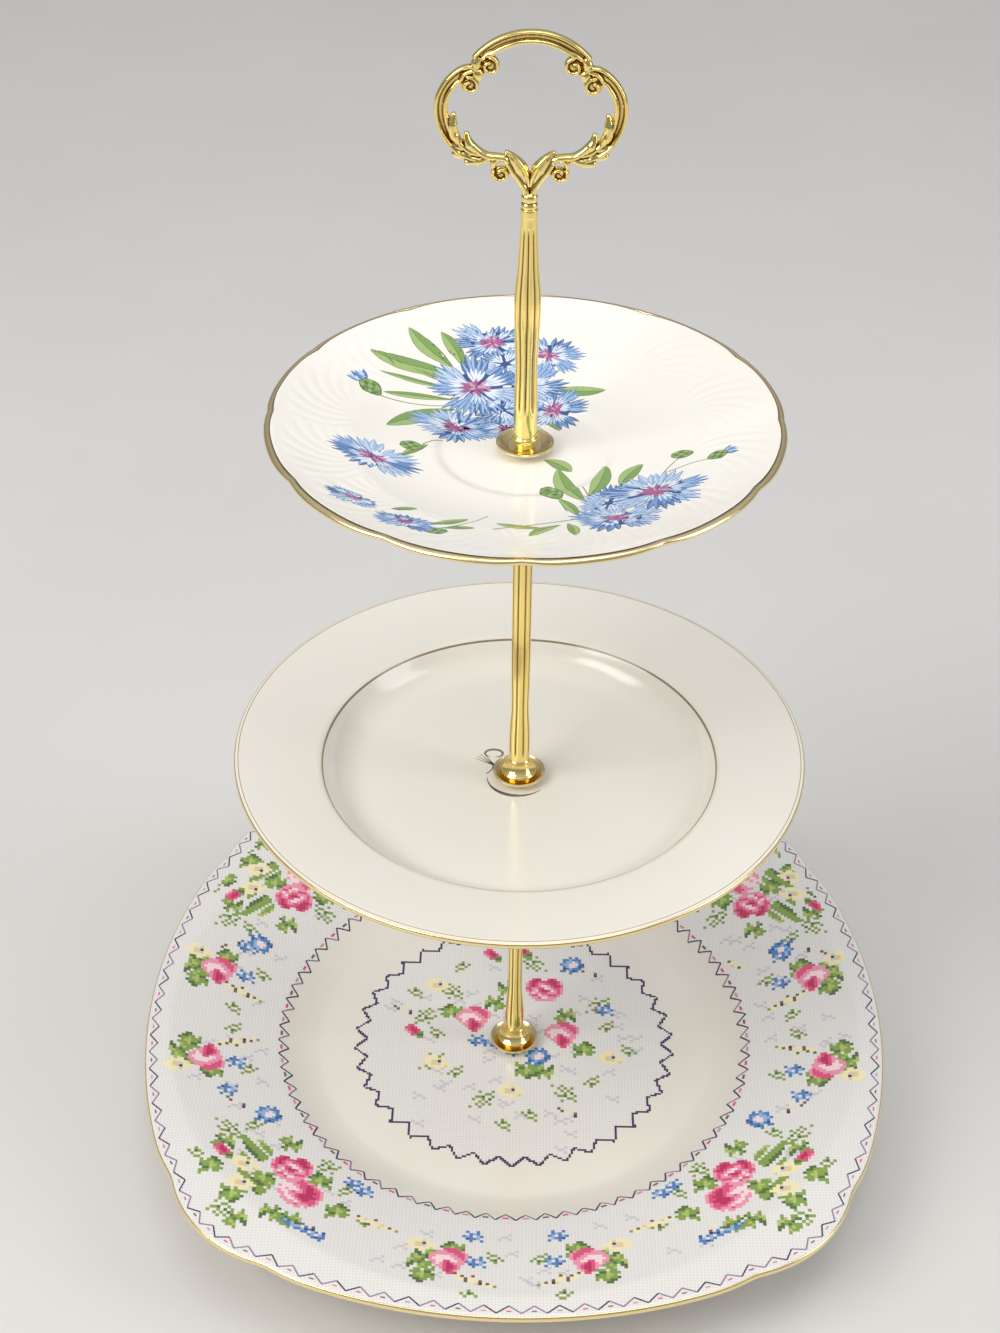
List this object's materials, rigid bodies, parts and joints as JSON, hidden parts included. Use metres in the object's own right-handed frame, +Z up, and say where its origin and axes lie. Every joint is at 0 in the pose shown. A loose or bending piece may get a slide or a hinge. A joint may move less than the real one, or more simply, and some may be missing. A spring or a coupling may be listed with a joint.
{
  "type": "tiered cake stand",
  "caption": "Tiered stand for serving cakes: china plates, round over square, clamped one above another on a screwed rod topped by a scrolled ring handle.",
  "frame": {"origin": "centre of the bottom plate's foot ring, on the table", "axes": "+Z up along the rod, +X to the right with the ring handle seen face on, -Y towards the viewer"},
  "size_m": [0.2596, 0.2596, 0.3865],
  "materials": {
    "gilt_casting": "polished gold plate on a cast ring",
    "gilt_rod": "polished gold plate",
    "gilt_washer": "polished gold plate",
    "plated_steel": "yellow plated thread",
    "gasket_plastic": "soft white plastic",
    "top_china": "gloss glaze, cornflower sprays, gilt rim",
    "middle_china": "gloss ivory glaze, gilt lines",
    "bottom_china": "gloss glaze, cross-stitch style transfer, gilt rim"
  },
  "bodies": {
    "bottom_plate": {"bottom_plate": "bottom_china", "bottom_upper_gasket": "gasket_plastic", "bottom_lower_gasket": "gasket_plastic"},
    "base_screw": {"bottom_screw": "plated_steel", "bottom_under_washer": "gilt_washer"},
    "bottom_dish_washer": {"bottom_dish_washer": "gilt_washer"},
    "lower_column": {"bottom_rod": "gilt_rod", "middle_under_washer": "gilt_washer"},
    "middle_plate": {"middle_plate": "middle_china", "middle_upper_gasket": "gasket_plastic", "middle_lower_gasket": "gasket_plastic"},
    "middle_dish_washer": {"middle_dish_washer": "gilt_washer"},
    "middle_column": {"middle_rod": "gilt_rod", "middle_stud": "plated_steel", "top_under_washer": "gilt_washer"},
    "top_plate": {"top_plate": "top_china", "top_upper_gasket": "gasket_plastic", "top_lower_gasket": "gasket_plastic"},
    "top_dish_washer": {"top_dish_washer": "gilt_washer"},
    "top_column": {"top_rod": "gilt_rod", "top_stud": "plated_steel", "handle_stud": "plated_steel", "handle_ring": "gilt_casting"}
  },
  "joints": [
    {"name": "column_turn", "type": "hinge", "parent": "bottom_plate", "child": "base_screw", "pos_m": [0, 0, 0], "axis": [0, 0, 1], "continuous": true},
    {"name": "bottom_rod_lift", "type": "slide", "parent": "base_screw", "child": "bottom_dish_washer", "axis": [0, 0, 1], "range_m": [0, 0.00788]},
    {"name": "bottom_rod_unscrew", "type": "hinge", "parent": "bottom_dish_washer", "child": "lower_column", "pos_m": [0, 0, 0], "axis": [0, 0, 1], "range_deg": [0, 4050]},
    {"name": "middle_plate_turn", "type": "hinge", "parent": "lower_column", "child": "middle_plate", "pos_m": [0, 0, 0], "axis": [0, 0, 1], "continuous": true},
    {"name": "middle_rod_lift", "type": "slide", "parent": "lower_column", "child": "middle_dish_washer", "axis": [0, 0, 1], "range_m": [0, 0.00788]},
    {"name": "middle_rod_unscrew", "type": "hinge", "parent": "middle_dish_washer", "child": "middle_column", "pos_m": [0, 0, 0], "axis": [0, 0, 1], "range_deg": [0, 4050]},
    {"name": "top_plate_turn", "type": "hinge", "parent": "middle_column", "child": "top_plate", "pos_m": [0, 0, 0], "axis": [0, 0, 1], "continuous": true},
    {"name": "top_rod_lift", "type": "slide", "parent": "middle_column", "child": "top_dish_washer", "axis": [0, 0, 1], "range_m": [0, 0.00788]},
    {"name": "top_rod_unscrew", "type": "hinge", "parent": "top_dish_washer", "child": "top_column", "pos_m": [0, 0, 0], "axis": [0, 0, 1], "range_deg": [0, 4050]}
  ],
  "couplings": [
    {"joint": "bottom_rod_unscrew", "follows": "bottom_rod_lift", "rad_per_m": 8976},
    {"joint": "middle_rod_unscrew", "follows": "middle_rod_lift", "rad_per_m": 8976},
    {"joint": "top_rod_unscrew", "follows": "top_rod_lift", "rad_per_m": 8976}
  ]
}
